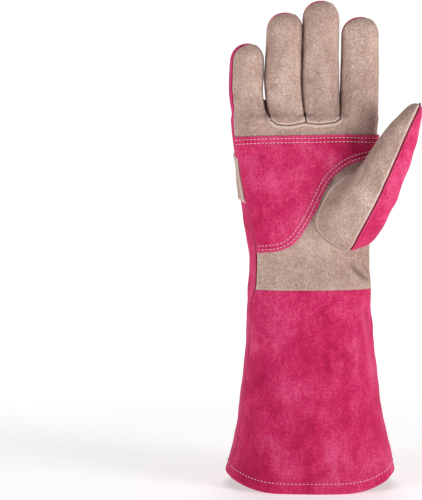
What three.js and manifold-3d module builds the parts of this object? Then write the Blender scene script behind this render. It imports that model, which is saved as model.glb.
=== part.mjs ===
// Leather gardening gauntlet glove for the right hand, standing on the rim of its cuff.
// Millimetres, +Z up. The palm faces -Y, the thumb side is +X, and the floor is z = 0.
// Each leather panel is one mesh, cut out of a hollow skin along its seams.
import * as THREE from "three";
import { mergeVertices } from "three/addons/utils/BufferGeometryUtils.js";
import Module from "manifold-3d";

const wasm = await Module();
wasm.setup();

// Driving dimensions.
const leather = 1.5; // thickness of every panel
const gap = 0.3; // clearance between two panels that are sewn together
const cuffLength = 144; // floor to wrist seam
const hemWidth = 128; // across the rim
const hemDepth = 88; // rim, palm to back
const hemRise = 10.5; // the rim's side corners above its middle
const hemHeight = 20; // the turned-in hem
const hemThickness = 3.2; // two layers
const wristWidth = 90.4;
const wristDepth = 54;
const palmLength = 126; // wrist seam to finger roots
const knuckleWidth = 107.9;
const knuckleShift = -3.9; // the knuckles' middle, towards the little finger
const rootDepth = 26; // hand at the finger roots, palm to back
const fingerLength = 87; // the middle finger, from its root
const fingerWidth = 26.6; // and across its middle
const fingerDepth = 24;
const fingerCurl = 5; // how far its tip leans towards the palm
const strapHeight = 33; // strap over the back of the hand
const strapDrop = 20; // finger roots to the strap's top edge
const thumbLength = 91; // centre of its base to its tip
const thumbBaseWidth = 44;
const thumbDepth = 26;
const thumbSpread = THREE.MathUtils.degToRad(32.3); // from upright
const thumbBaseUp = 59; // its base's centre above the wrist seam
const thumbBaseOut = 28; // and beside the hand's middle
const thumbBaseFront = 20; // and in front of it

// The fingers, little to index. long, wide: shares of the finger length and width. root: share of the
// knuckles. lean, tipLean: how far the finger's middle and its tip stand off its root, along X, in shares
// of the finger width. ulnarSeam: where the seam on the little-finger side lies, in half depths.
// backSeam: where the other seam lies on the back, in half widths.
const fingerShapes = [
  { long: 0.643, wide: 0.925, root: 0.26, lean: -0.14, tipLean: -0.094, ulnarSeam: -0.35, backSeam: 0.31 },
  { long: 0.897, wide: 0.992, root: 0.24, lean: -0.13, tipLean: -0.06, ulnarSeam: -0.15, backSeam: 0.48 },
  { long: 1, wide: 1, root: 0.235, lean: -0.053, tipLean: -0.038, ulnarSeam: -0.15, backSeam: 0.6 },
  { long: 0.86, wide: 1.023, root: 0.265, lean: 0.026, tipLean: 0.034, ulnarSeam: -0.15, backSeam: 0.66 },
];
const tipRoundness = 1.05; // a fingertip's round end, in half finger widths
const tipSeam = -0.45; // where the seam crosses the fingertip, in half depths
const seamDepth = 0.9; // where the seam on a finger's back lies, in half depths

// Cuff sections. up: share of the cuff's length. The rest say how much of the way from the wrist's
// half width or half depth (0) to the rim's (1) the section has gone.
const cuffSections = [
  { up: 0, ulnar: 1, radial: 1, depth: 1 },
  { up: 0.06, ulnar: 0.93, radial: 0.93, depth: 0.94 },
  { up: 0.16, ulnar: 0.72, radial: 0.76, depth: 0.8 },
  { up: 0.27, ulnar: 0.53, radial: 0.56, depth: 0.66 },
  { up: 0.42, ulnar: 0.34, radial: 0.36, depth: 0.5 },
  { up: 0.58, ulnar: 0.21, radial: 0.25, depth: 0.37 },
  { up: 0.74, ulnar: 0.11, radial: 0.1, depth: 0.23 },
  { up: 0.9, ulnar: 0.06, radial: 0, depth: 0.08 },
  { up: 1, ulnar: 0, radial: 0, depth: 0 },
];

// Hand sections. up: share of the palm's length. The rest go from the wrist's half width or half depth (0)
// to the knuckles' half width or the finger roots' half depth (1).
const handSections = [
  { up: 0.1, ulnar: 0, radial: -0.25, depth: 0.1 },
  { up: 0.2, ulnar: -0.03, radial: -0.35, depth: 0.18 },
  { up: 0.28, ulnar: 0.02, radial: 0, depth: 0.22 },
  { up: 0.4, ulnar: 0.26, radial: 0.2, depth: 0.27 },
  { up: 0.54, ulnar: 0.47, radial: 0.57, depth: 0.34 },
  { up: 0.71, ulnar: 0.66, radial: 0.97, depth: 0.5 },
  { up: 0.86, ulnar: 0.92, radial: 1, depth: 0.73 },
  { up: 0.95, ulnar: 1, radial: 1, depth: 0.9 },
  { up: 1, ulnar: 1, radial: 1, depth: 1 },
];

// Thumb sections, from inside the palm to near the tip. frontAlong, backAlong: share of the thumb's length.
// frontOut, backOut: how far the section's front and back stand in front of its base's centre, in shares
// of the thumb's depth. width: share of the base's width.
const thumbSections = [
  { frontAlong: -0.26, frontOut: -0.38, backAlong: 0.26, backOut: -0.46, width: 0.9 },
  { frontAlong: -0.3, frontOut: 0.12, backAlong: 0.27, backOut: -0.12, width: 1 },
  { frontAlong: -0.21, frontOut: 0.5, backAlong: 0.3, backOut: -0.12, width: 0.96 },
  { frontAlong: -0.03, frontOut: 0.73, backAlong: 0.325, backOut: -0.13, width: 0.91 },
  { frontAlong: 0.15, frontOut: 0.81, backAlong: 0.36, backOut: -0.15, width: 0.86 },
  { frontAlong: 0.38, frontOut: 0.81, backAlong: 0.45, backOut: -0.19, width: 0.71 },
  { frontAlong: 0.59, frontOut: 0.79, backAlong: 0.61, backOut: -0.17, width: 0.58 },
  { frontAlong: 0.755, frontOut: 0.77, backAlong: 0.76, backOut: -0.12, width: 0.47 },
  { frontAlong: 0.885, frontOut: 0.69, backAlong: 0.89, backOut: 0, width: 0.35 },
  { frontAlong: 0.965, frontOut: 0.56, backAlong: 0.97, backOut: 0.15, width: 0.2 },
];
const thumbEndOut = 0.36; // its very end stands this far out, in shares of its depth
const thumbSeamFront = THREE.MathUtils.degToRad(27); // its front seam, round the section from the front
const thumbSeamBack = THREE.MathUtils.degToRad(232); // its back seam, the same way round

// Side seams of the cuff and the hand, in half depths from the middle of the side.
const ulnarSideSeam = -0.3;
const radialSideSeam = 0.5;

// Lower edge of the palm patch, from the ulnar seam round the thumb to the index's side.
// across: in half knuckle widths. up: share of the palm's length.
const patchEdge = [
  { across: -1.3, up: 0.225 },
  { across: -0.68, up: 0.227 },
  { across: -0.48, up: 0.238 },
  { across: -0.34, up: 0.265 },
  { across: -0.22, up: 0.298 },
  { across: -0.12, up: 0.342 },
  { across: 0.03, up: 0.444 },
  { across: 0.15, up: 0.56 },
  { across: 0.23, up: 0.63 },
  { across: 0.36, up: 0.69 },
  { across: 0.54, up: 0.738 },
  { across: 0.7, up: 0.765 },
  { across: 0.89, up: 0.845 },
  { across: 1.3, up: 0.86 },
];
const patchDropUlnar = 13; // finger roots to the patch's top edge, at the little finger
const patchDropRadial = 9.5; // and at the index

// Where the seam at the root of the two middle fingers runs, from the ring finger's ulnar side to the
// middle finger's radial side. across: share of the two roots. down: below the finger roots.
const rootSeam = [
  { across: 0, down: 0.5 },
  { across: 0.08, down: 4.2 },
  { across: 0.27, down: 5 },
  { across: 0.48, down: 2.6 },
  { across: 0.68, down: 4.2 },
  { across: 0.92, down: 2.8 },
  { across: 1, down: -0.5 },
];

const pinkLeather = new THREE.MeshStandardMaterial({ color: 0xc9305f, roughness: 0.95, metalness: 0 });
const beigeLeather = new THREE.MeshStandardMaterial({ color: 0xc6ab98, roughness: 0.95, metalness: 0 });

const squareness = 0.86; // of every section: 1 is an ellipse, 0 a rectangle
const wristZ = cuffLength;
const rootZ = cuffLength + palmLength;
const bodySides = 30;
const fingerSides = 14;
const thumbSides = 16;
const reach = hemWidth; // half the size of a cutting solid
const meshTolerance = 0.04; // how far a panel's faces may move when slivers are merged

function mix(from, to, share) {
  return from + (to - from) * share;
}

// The solid that a closed geometry bounds.
function solidOf(geometry) {
  geometry.deleteAttribute("normal");
  geometry.deleteAttribute("uv");
  const merged = mergeVertices(geometry, 1e-4);
  return new wasm.Manifold(
    new wasm.Mesh({
      numProp: 3,
      vertProperties: merged.attributes.position.array,
      triVerts: new Uint32Array(merged.index.array),
    }),
  );
}

// A closed solid through rings of points that all have the same count and run the same way round.
function loft(rings) {
  const sides = rings[0].length;
  const points = rings.flat();
  const triangles = [];
  for (let row = 0; row < rings.length - 1; row++)
    for (let side = 0; side < sides; side++) {
      const next = (side + 1) % sides;
      const a = row * sides + side;
      const b = row * sides + next;
      triangles.push(a, b, b + sides, a, b + sides, a + sides);
    }
  for (const end of [0, rings.length - 1]) {
    const middle = new THREE.Vector3();
    for (const point of rings[end]) middle.addScaledVector(point, 1 / sides);
    const tip = points.push(middle) - 1;
    for (let side = 0; side < sides; side++) {
      const a = end * sides + side;
      const b = end * sides + ((side + 1) % sides);
      triangles.push(...(end === 0 ? [b, a, tip] : [a, b, tip]));
    }
  }
  const geometry = new THREE.BufferGeometry().setFromPoints(points);
  geometry.setIndex(triangles);
  return solidOf(geometry);
}

// An outline of [x, z] points, run through the whole glove along Y.
function prism(outline) {
  const shape = new THREE.Shape(outline.map(([x, z]) => new THREE.Vector2(x, z)));
  const geometry = new THREE.ExtrudeGeometry(shape, { depth: 2 * reach, bevelEnabled: false, steps: 1 });
  return solidOf(geometry.translate(0, 0, -reach).rotateX(Math.PI / 2));
}

// Half width or half depth at an angle round a section, a little squarer than an ellipse.
function squarish(value) {
  return Math.sign(value) * Math.abs(value) ** squareness;
}

function oval(x, y, z, halfWidth, halfDepth, sides) {
  return Array.from({ length: sides }, (_, side) => {
    const angle = (2 * Math.PI * side) / sides;
    return new THREE.Vector3(
      x + halfWidth * squarish(Math.cos(angle)),
      y + halfDepth * squarish(Math.sin(angle)),
      z,
    );
  });
}

// Body of the glove: the cuff's and the hand's sections as heights, edges and half depths.
const bodySections = [
  ...cuffSections.map(({ up, ulnar, radial, depth }) => ({
    z: up * cuffLength,
    ulnar: -mix(wristWidth, hemWidth, ulnar) / 2,
    radial: mix(wristWidth, hemWidth, radial) / 2,
    halfDepth: mix(wristDepth, hemDepth, depth) / 2,
  })),
  ...handSections.map(({ up, ulnar, radial, depth }) => ({
    z: wristZ + up * palmLength,
    ulnar: -mix(wristWidth / 2, knuckleWidth / 2 - knuckleShift, ulnar),
    radial: mix(wristWidth / 2, knuckleWidth / 2 + knuckleShift, radial),
    halfDepth: mix(wristDepth, rootDepth, depth) / 2,
  })),
];

// The body's edges and half depth at any height.
function bodyAt(z) {
  const last = bodySections.length - 1;
  let row = bodySections.findIndex((section) => section.z >= z);
  if (row < 1) row = row < 0 ? last : 1;
  const [low, high] = [bodySections[row - 1], bodySections[row]];
  const share = THREE.MathUtils.clamp((z - low.z) / (high.z - low.z), 0, 1);
  return {
    middle: mix(low.ulnar + low.radial, high.ulnar + high.radial, share) / 2,
    halfWidth: mix(low.radial - low.ulnar, high.radial - high.ulnar, share) / 2,
    halfDepth: mix(low.halfDepth, high.halfDepth, share),
  };
}

function bodyRing(z, grow) {
  const { middle, halfWidth, halfDepth } = bodyAt(z);
  return oval(middle, 0, z, halfWidth + grow, halfDepth + grow, bodySides);
}

// The body as a full solid, its skin moved out by grow.
function body(grow) {
  const rings = bodySections.map(({ z }) => bodyRing(z, grow));
  return loft([...rings, crown(grow)]);
}

// The low dome that closes the body between the finger roots.
function crown(grow) {
  const { middle, halfWidth, halfDepth } = bodyAt(rootZ);
  const rise = fingerDepth / 8;
  const flattened = 0.7; // share of the half depth that is left on top
  const sizes = [halfWidth - rise + grow, flattened * halfDepth + grow];
  return oval(middle, 0, rootZ + rise + grow, ...sizes, bodySides);
}

// The room inside the body, open through the rim, and narrower where the hem is folded in.
function bodyRoom() {
  const hem = [-1, hemHeight].map((z) => bodyRing(z, -hemThickness));
  const above = bodySections.filter(({ z }) => z > hemHeight + 1).map(({ z }) => bodyRing(z, -leather));
  return loft([...hem, bodyRing(hemHeight + 1, -leather), ...above, crown(-leather)]);
}

// Where a finger's middle and half width lie at a share of its length.
const fingers = fingerShapes.map((shape, place) => {
  const before = fingerShapes.slice(0, place).reduce((sum, { root }) => sum + root, 0);
  const ulnarX = knuckleShift + knuckleWidth * (before - 0.5);
  const length = fingerLength * shape.long;
  return {
    ...shape,
    ulnarX,
    radialX: ulnarX + knuckleWidth * shape.root,
    width: fingerWidth * shape.wide,
    length,
    tipZ: rootZ + length,
  };
});

function fingerAt(finger, z) {
  const { ulnarX, radialX, width, length, lean, tipLean } = finger;
  const up = THREE.MathUtils.clamp((z - rootZ) / length, 0, 1);
  const narrowEnd = 0.15; // the root has narrowed to the finger's own width here
  const leanEnd = 0.4; // and the finger stands off its root the most here
  const narrowed = THREE.MathUtils.clamp(up / narrowEnd, 0, 1);
  const leaning =
    up < leanEnd
      ? lean * Math.sin((Math.PI / 2) * (up / leanEnd))
      : mix(lean, tipLean, (up - leanEnd) / (1 - leanEnd));
  return {
    x: (ulnarX + radialX) / 2 + leaning * fingerWidth,
    y: -fingerCurl * ((up * length) / fingerLength) ** 2,
    halfWidth: mix(radialX - ulnarX - gap, width, narrowed) / 2,
    halfDepth: mix(rootDepth, fingerDepth, narrowed) / 2,
  };
}

// A finger as a full solid: a foot inside the body, a tube, and a round tip.
function fingerSolid(finger, grow) {
  const tip = (tipRoundness * finger.width) / 2;
  const tubeEnd = finger.tipZ - tip;
  const footZ = rootZ - rootDepth;
  const root = fingerAt(finger, rootZ);
  const slim = 0.7; // the foot stays inside the body
  const foot = [slim * root.halfWidth + grow, slim * root.halfDepth + grow];
  const rings = [oval(root.x, root.y, footZ, ...foot, fingerSides)];
  for (const share of [0, 0.1, 0.25, 0.5, 0.75, 1]) {
    const z = mix(rootZ, tubeEnd, share);
    const { x, y, halfWidth, halfDepth } = fingerAt(finger, z);
    rings.push(oval(x, y, z, halfWidth + grow, halfDepth + grow, fingerSides));
  }
  for (const degrees of [28, 52, 72]) {
    const angle = THREE.MathUtils.degToRad(degrees);
    const z = tubeEnd + (tip + grow) * Math.sin(angle);
    const { x, y, halfWidth, halfDepth } = fingerAt(finger, z);
    const size = Math.cos(angle);
    rings.push(oval(x, y, z, (halfWidth + grow) * size, (halfDepth + grow) * size, fingerSides));
  }
  return loft(rings);
}

// The thumb: a place beside its base's centre, across the thumb, out of the palm and along the thumb.
const thumbBase = new THREE.Vector3(thumbBaseOut, -thumbBaseFront, wristZ + thumbBaseUp);
const thumbAcross = new THREE.Vector3(Math.cos(thumbSpread), 0, -Math.sin(thumbSpread));
const thumbAlong = new THREE.Vector3(Math.sin(thumbSpread), 0, Math.cos(thumbSpread));
const palmOut = new THREE.Vector3(0, -1, 0);

function thumbPlace(out, along) {
  return thumbBase.clone().addScaledVector(palmOut, out).addScaledVector(thumbAlong, along);
}

// One section's centre, and its half axes to the front and across, moved out by grow.
function thumbFrame(section, grow) {
  const front = thumbPlace(section.frontOut * thumbDepth, section.frontAlong * thumbLength);
  const back = thumbPlace(section.backOut * thumbDepth, section.backAlong * thumbLength);
  const centre = front.clone().add(back).multiplyScalar(0.5);
  const forward = front.clone().sub(centre);
  forward.setLength(forward.length() + grow);
  const across = thumbAcross.clone().multiplyScalar((section.width * thumbBaseWidth) / 2 + grow);
  return { centre, forward, across };
}

function thumbPoint({ centre, forward, across }, angle, size = 1) {
  return centre
    .clone()
    .addScaledVector(forward, size * squarish(Math.cos(angle)))
    .addScaledVector(across, size * squarish(Math.sin(angle)));
}

// The thumb as a full solid, its skin moved out by grow, and its foot pushed deeper into the palm.
function thumbSolid(grow, deeper = 0) {
  const rings = thumbSections.map((section, row) => {
    const frame = thumbFrame(section, grow);
    if (row === 0) frame.centre.addScaledVector(palmOut, -deeper);
    const turn = (2 * Math.PI) / thumbSides;
    return Array.from({ length: thumbSides }, (_, side) => thumbPoint(frame, side * turn));
  });
  const end = thumbPlace(thumbEndOut * thumbDepth, thumbLength + grow);
  const nearEnd = 0.8; // the last ring has drawn in this share of the way
  rings.push(rings.at(-1).map((point) => point.clone().lerp(end, nearEnd)));
  return loft(rings);
}

// The side of the thumb that the beige leather covers, up to a surface through both thumb seams.
function thumbBeigeSide(grow) {
  const steps = 8;
  const wide = 1.6; // well outside the thumb's skin
  const rings = thumbSections.map((section) => {
    const frame = thumbFrame(section, 0);
    const arc = Array.from({ length: steps + 1 }, (_, step) => {
      const angle = mix(thumbSeamBack, thumbSeamFront + 2 * Math.PI, step / steps);
      return thumbPoint(frame, angle, wide);
    });
    const [start, end] = [arc[0], arc[steps]];
    const beigeward = arc[steps / 2].clone().sub(start.clone().add(end).multiplyScalar(0.5)).setLength(-grow);
    return arc.map((point) => point.clone().add(beigeward));
  });
  const lift = thumbAlong.clone().multiplyScalar(thumbDepth);
  rings.push(rings.at(-1).map((point) => point.clone().add(lift)));
  return loft(rings);
}

// Height in Y of the surface that parts the back from the palm side, through the seams.
function partingY(x, z) {
  const whole = bodyAt(z);
  const acrossHand = THREE.MathUtils.clamp((x - whole.middle) / whole.halfWidth, -1.2, 1.2);
  const onBody = whole.halfDepth * mix(ulnarSideSeam, radialSideSeam, (acrossHand + 1) / 2);
  const finger = fingers.find(({ radialX }) => x <= radialX + leanAt(radialX, z)) ?? fingers.at(-1);
  const here = fingerAt(finger, z);
  const across = (x - here.x) / here.halfWidth;
  const slope = (seamDepth - finger.ulnarSeam) / (finger.backSeam + 1);
  const beside = here.halfDepth * (finger.ulnarSeam + slope * (across + 1));
  const { tipZ, width } = finger;
  const curled = THREE.MathUtils.smoothstep(z, tipZ - width / 2, tipZ - width / 8);
  const onFinger = here.y + mix(beside, tipSeam * here.halfDepth, curled);
  return mix(onBody, onFinger, THREE.MathUtils.smoothstep(z, rootZ - strapDrop / 8, rootZ + strapDrop / 2));
}

// How far the middle of the gap between two fingers has moved from where their roots meet.
function leanAt(boundary, z) {
  const right = fingers.findIndex(({ ulnarX }) => Math.abs(ulnarX - boundary) < 1e-6);
  if (right < 1) return 0;
  const [low, high] = [fingerAt(fingers[right - 1], z), fingerAt(fingers[right], z)];
  return (low.x + low.halfWidth + high.x - high.halfWidth) / 2 - boundary;
}

// Everything behind the parting surface moved by shift along Y.
function backSide(shift) {
  const heights = [-hemRise, ...bodySections.slice(1).map(({ z }) => z)];
  const step = fingerWidth / 4;
  for (let z = rootZ + step; z < rootZ + fingerLength + 2 * step; z += step) heights.push(z);
  const rows = heights.map((z) => {
    const columns = [-reach];
    for (const { ulnarX, radialX } of fingers) {
      columns.push(ulnarX + leanAt(ulnarX, z) + gap / 2, radialX + leanAt(radialX, z) - gap / 2);
    }
    columns.push(reach);
    return columns.map((x) => new THREE.Vector3(x, partingY(x, z) + shift, z));
  });
  // Each row becomes a closed ring: along the parting surface one way, and back far behind it.
  const farBehind = ({ x, z }) => new THREE.Vector3(x, reach, z);
  return loft(rows.map((row) => [...row, ...row.toReversed().map(farBehind)]));
}

// A slice of the glove between two heights.
function slice(low, high) {
  return prism([
    [-reach, low],
    [reach, low],
    [reach, high],
    [-reach, high],
  ]);
}

// What lies under the rim's curve.
function underRim() {
  const flat = 0.35; // share of the half width on which the rim is straight
  const steepness = 2.2; // how the rim rises outside it
  const touch = 1e-3; // the cut starts just under the floor
  const outline = [
    [-reach, hemRise + 1],
    [-reach, -hemHeight],
    [reach, -hemHeight],
    [reach, hemRise + 1],
  ];
  for (let share = 1; share >= -1; share -= 0.1) {
    const past = Math.max(0, (Math.abs(share) - flat) / (1 - flat));
    outline.push([(share * hemWidth) / 2, past > 0 ? hemRise * past ** steepness : -touch]);
  }
  return prism(outline);
}

// The two inset finger fronts: what lies above the root seam, between two gaps, each side moved by grow.
function frontZone(finger, grow) {
  const step = fingerWidth / 2;
  const [first, last] = [fingers[1].ulnarX, fingers[2].radialX];
  const seam = rootSeam
    .map(({ across, down }) => [mix(first, last, across), rootZ - down - grow])
    .filter(([x]) => x > finger.ulnarX + 1e-6 && x < finger.radialX - 1e-6);
  const seamAt = (x) => {
    const share = (x - first) / (last - first);
    const next = Math.max(1, rootSeam.findIndex(({ across }) => across >= share - 1e-6));
    const [low, high] = [rootSeam[next - 1], rootSeam[next]];
    return rootZ - mix(low.down, high.down, (share - low.across) / (high.across - low.across)) - grow;
  };
  const side = (boundary, outward) => {
    const edge = [[boundary + outward, seamAt(boundary)]];
    for (let z = rootZ + step / 4; z < finger.tipZ + 2 * step; z += step) {
      edge.push([boundary + leanAt(boundary, z) + outward, z]);
    }
    return edge;
  };
  return prism([
    ...side(finger.ulnarX, -grow).toReversed(),
    ...seam,
    ...side(finger.radialX, grow),
  ]);
}

// The palm patch's outline in X and Z.
function patchOutline() {
  const edge = patchEdge.map(({ across, up }) => [(across * knuckleWidth) / 2, wristZ + up * palmLength]);
  const side = patchEdge.at(-1).across * (knuckleWidth / 2);
  return prism([...edge, [side, rootZ - patchDropRadial], [-side, rootZ - patchDropUlnar]]);
}

// A body with its four fingers, whose skin is moved out by grow.
function withFingers(whole, grow) {
  return fingers.reduce((sum, finger) => sum.add(fingerSolid(finger, grow)), whole);
}

// The hollow skin, and its two sides.
const skin = withFingers(body(0), 0)
  .subtract(withFingers(bodyRoom(), -leather))
  .subtract(underRim());
const thumbHole = thumbSolid(gap);
const backSkin = skin.intersect(backSide(gap / 2));
const palmSkin = skin.subtract(backSide(-gap / 2)).subtract(thumbHole);

// Back of the glove: the strap covers the join of its two panels.
const strapTop = rootZ - strapDrop;
const strapBottom = strapTop - strapHeight;
const backJoin = (strapTop + strapBottom) / 2;
const handBack = backSkin.intersect(slice(backJoin + gap / 2, rootZ + 2 * fingerLength));
const cuffBack = backSkin.intersect(slice(-hemHeight, backJoin - gap / 2));

// A layer of leather that lies on the glove, gap above its skin.
const overlay = withFingers(body(gap + leather), gap + leather).subtract(withFingers(body(gap), gap));
const knuckleBand = overlay.intersect(backSide(gap / 2)).intersect(slice(strapBottom, strapTop));
const palmPatch = overlay.subtract(backSide(-gap / 2)).intersect(patchOutline()).subtract(thumbHole);

// Palm side of the glove.
const [, ring, middle] = fingers;
const cuffPalm = palmSkin.intersect(slice(-hemHeight, wristZ - gap / 2));
const palmBase = palmSkin
  .intersect(slice(wristZ + gap / 2, rootZ + 2 * fingerLength))
  .subtract(frontZone(ring, gap / 2))
  .subtract(frontZone(middle, gap / 2));
const ringFront = palmSkin.intersect(frontZone(ring, -gap / 2));
const middleFront = palmSkin.intersect(frontZone(middle, -gap / 2));

// The thumb's tube ends just inside the palm, where its seam allowance lies.
const thumbSkin = thumbSolid(0)
  .subtract(thumbSolid(-leather, 2 * leather))
  .subtract(body(-2 * leather));
const thumbFront = thumbSkin.intersect(thumbBeigeSide(-gap / 2));
const thumbBack = thumbSkin.subtract(thumbBeigeSide(gap / 2));

const glove = new THREE.Group();

// The geometry of a solid, without the slivers that its cuts leave.
function cleanGeometry(solid) {
  const { numProp, vertProperties, triVerts } = solid.simplify(meshTolerance).getMesh();
  const geometry = new THREE.BufferGeometry();
  geometry.setAttribute("position", new THREE.BufferAttribute(Float32Array.from(vertProperties), numProp));
  geometry.setIndex([...triVerts]);
  const merged = mergeVertices(geometry, meshTolerance);
  const corners = merged.index.array;
  const kept = [];
  for (let i = 0; i < corners.length; i += 3) {
    const [a, b, c] = corners.slice(i, i + 3);
    if (a !== b && b !== c && c !== a) kept.push(a, b, c);
  }
  merged.setIndex(kept);
  return merged;
}

function addPanel(name, solid, material) {
  const geometry = cleanGeometry(solid);
  const panel = new THREE.Mesh(geometry, material.clone());
  panel.name = name;
  glove.add(panel);
}

addPanel("hand_back", handBack, pinkLeather);
addPanel("cuff_back", cuffBack, pinkLeather);
addPanel("knuckle_band", knuckleBand, beigeLeather);
addPanel("palm_base", palmBase, beigeLeather);
addPanel("ring_finger_front", ringFront, beigeLeather);
addPanel("middle_finger_front", middleFront, beigeLeather);
addPanel("palm_patch", palmPatch, pinkLeather);
addPanel("thumb_front", thumbFront, beigeLeather);
addPanel("thumb_back", thumbBack, pinkLeather);
addPanel("cuff_palm", cuffPalm, pinkLeather);

// The origin is under the middle of the glove's bounding box.
const bounds = new THREE.Box3().setFromObject(glove);
const centre = bounds.getCenter(new THREE.Vector3());
glove.position.set(-centre.x, -centre.y, -bounds.min.z);

export default glove;
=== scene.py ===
import bmesh
import bpy
import numpy as np
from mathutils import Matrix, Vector


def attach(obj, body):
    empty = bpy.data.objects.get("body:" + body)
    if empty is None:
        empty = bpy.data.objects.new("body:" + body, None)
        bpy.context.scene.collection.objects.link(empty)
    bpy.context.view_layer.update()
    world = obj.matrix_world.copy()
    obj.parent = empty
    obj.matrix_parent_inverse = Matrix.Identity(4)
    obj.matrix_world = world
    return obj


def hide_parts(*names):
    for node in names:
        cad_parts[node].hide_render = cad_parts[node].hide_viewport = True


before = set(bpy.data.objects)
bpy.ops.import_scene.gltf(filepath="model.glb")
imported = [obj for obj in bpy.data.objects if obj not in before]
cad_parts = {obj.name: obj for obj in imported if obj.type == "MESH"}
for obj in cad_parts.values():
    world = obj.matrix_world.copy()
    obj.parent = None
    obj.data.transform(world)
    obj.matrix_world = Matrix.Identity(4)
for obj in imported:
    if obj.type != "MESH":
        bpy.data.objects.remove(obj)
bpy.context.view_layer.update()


# Cuff, palm side: a flared panel of pink split suede that reaches from the wrist seam to the rim,
# where it is folded in and stitched. Its sides are sewn to the back panel, edges turned in.
cuff_length = 144.0
palm_length = 126.0
hem_width, hem_depth, hem_rise = 128.0, 88.0, 10.5
wrist_width, wrist_depth = 90.4, 54.0
knuckle_width, knuckle_shift, root_depth = 107.9, -3.9, 26.0
root_z = cuff_length + palm_length
squareness = 0.86  # of every section: 1 is an ellipse, 0 a rectangle
radial_seam = 0.5  # the seam on the thumb's side, in half depths
leather = 1.4
rim_middle = -8.18  # the rim's middle stands here in the row frame
spacing = 1.15  # between the rows of a panel's grid

# share of the cuff's length, then how far the ulnar edge, the radial edge and the depth have flared, 1 at the rim
cuff_rows = np.array([
    (0, 1.08, 1.02, 1), (0.06, 1.0, 0.95, 0.94), (0.16, 0.77, 0.77, 0.8), (0.27, 0.56, 0.56, 0.66),
    (0.42, 0.38, 0.36, 0.5), (0.58, 0.27, 0.25, 0.37), (0.74, 0.17, 0.12, 0.23), (0.9, 0.12, 0, 0.08),
])
# share of the palm's length, then how far the same three are on their way from the wrist to the knuckles
hand_rows = np.array([
    (0, 0.09, 0, 0), (0.1, 0.1, -0.25, 0.1), (0.2, 0.07, -0.35, 0.18), (0.28, 0.1, 0, 0.22),
    (0.4, 0.32, 0.2, 0.27), (0.54, 0.49, 0.57, 0.34), (0.71, 0.64, 0.97, 0.5),
    (0.86, 0.9, 1, 0.73), (0.95, 1, 1, 0.9), (1, 1, 1, 1),
])


def lerp(start, end, share):
    """Goes straight from start to end."""
    return start + (end - start) * share


def step(share):
    """Goes from 0 to 1 as share does, level at both ends: 3 s squared less 2 s cubed."""
    share = np.clip(share, 0, 1)
    return share * share * (3 - 2 * share)


def bell(share):
    """Falls from 1 like a bell: e to the power of minus the share's square."""
    return np.exp(-(share**2))


def eased(heights, values, reach=6.0):
    """A table to be read at any height: straight lines between its entries, carried on below the lowest one,
    then averaged with a bell-shaped weight about reach mm wide, which rounds its corners."""
    below, above, pace = 30, 120, 0.5
    fine = np.arange(heights[0] - below, heights[-1] + above, pace)
    slope = (values[1] - values[0]) / (heights[1] - heights[0])
    line = np.interp(fine, heights, values) + np.minimum(fine - heights[0], 0) * slope
    weights = bell(np.arange(-3 * reach, 3 * reach + pace, pace) / reach / np.sqrt(2))
    return fine, np.convolve(np.pad(line, len(weights) // 2, mode="edge"), weights / weights.sum(), mode="valid")


body_heights = np.concatenate([cuff_rows[:, 0] * cuff_length, cuff_length + hand_rows[:, 0] * palm_length])
ulnar_edge = eased(body_heights, -np.concatenate([
    lerp(wrist_width / 2, hem_width / 2, cuff_rows[:, 1]),
    lerp(wrist_width / 2, knuckle_width / 2 - knuckle_shift, hand_rows[:, 1]),
]))
radial_edge = eased(body_heights, np.concatenate([
    lerp(wrist_width / 2, hem_width / 2, cuff_rows[:, 2]),
    lerp(wrist_width / 2, knuckle_width / 2 + knuckle_shift, hand_rows[:, 2]),
]))
body_depth = eased(body_heights, np.concatenate([
    lerp(wrist_depth / 2, hem_depth / 2, cuff_rows[:, 3]),
    lerp(wrist_depth / 2, root_depth / 2, hand_rows[:, 3]),
]))


def body_sizes(z):
    """Middle, half width and half depth of the glove's body at a height."""
    low, high = np.interp(z, *ulnar_edge), np.interp(z, *radial_edge)
    return (low + high) / 2, (high - low) / 2, np.interp(z, *body_depth)


def squarish(value):
    """A sine or cosine that fills its oval out towards a rectangle: its power, with its sign."""
    return np.sign(value) * np.abs(value) ** squareness


def body_place(side, angle, z):
    """A place on the body's oval at a height. The angle starts in the middle of the back (side 1) or of the
    palm (side -1) and grows towards the thumb."""
    middle, half_width, half_depth = body_sizes(z)
    x = middle + half_width * squarish(np.sin(angle))
    return np.stack(np.broadcast_arrays(x, side * half_depth * squarish(np.cos(angle)), z), axis=-1)


def seam_angle(side, share):
    """The angle from the middle of a side to where the oval is share half depths from its widest line."""
    return np.arccos(np.sign(side * share) * abs(share) ** (1 / squareness))


# the seam on the little finger's side: heights, and half depths from the middle of the side
ulnar_seam = eased(
    np.array([0, 40, 63, 107, 136, 147, 180, 200, 215, 225, 250, 258, 270]),
    -np.array([0.25, 0.31, 0.36, 0.39, 0.41, 0.55, 0.56, 0.5, 0.4, 0.34, 0.3, 0.3, 0.36]), 2.5)


def panel_limits(side, z):
    """The angles of the two side seams at a height, from the middle of the back or the palm."""
    return -seam_angle(side, np.interp(z, *ulnar_seam)), seam_angle(side, radial_seam)


def ring_level(x, y, half_width, half_depth):
    """How far a place lies outside an oval: its oval radius less 1, over that radius' slope."""
    power = 2 / squareness
    u, v = np.abs(x) / half_width + 1e-6, np.abs(y) / half_depth + 1e-6
    radius = (u**power + v**power) ** (1 / power)
    slope = np.hypot((u / radius) ** (power - 1) / half_width, (v / radius) ** (power - 1) / half_depth)
    return (radius - 1) / slope


def body_level(places):
    """How far places lie outside the body, without fingers and thumb."""
    x, y, z = places.T
    middle, half_width, half_depth = body_sizes(z)
    return ring_level(x - middle, y, half_width, half_depth)


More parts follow.
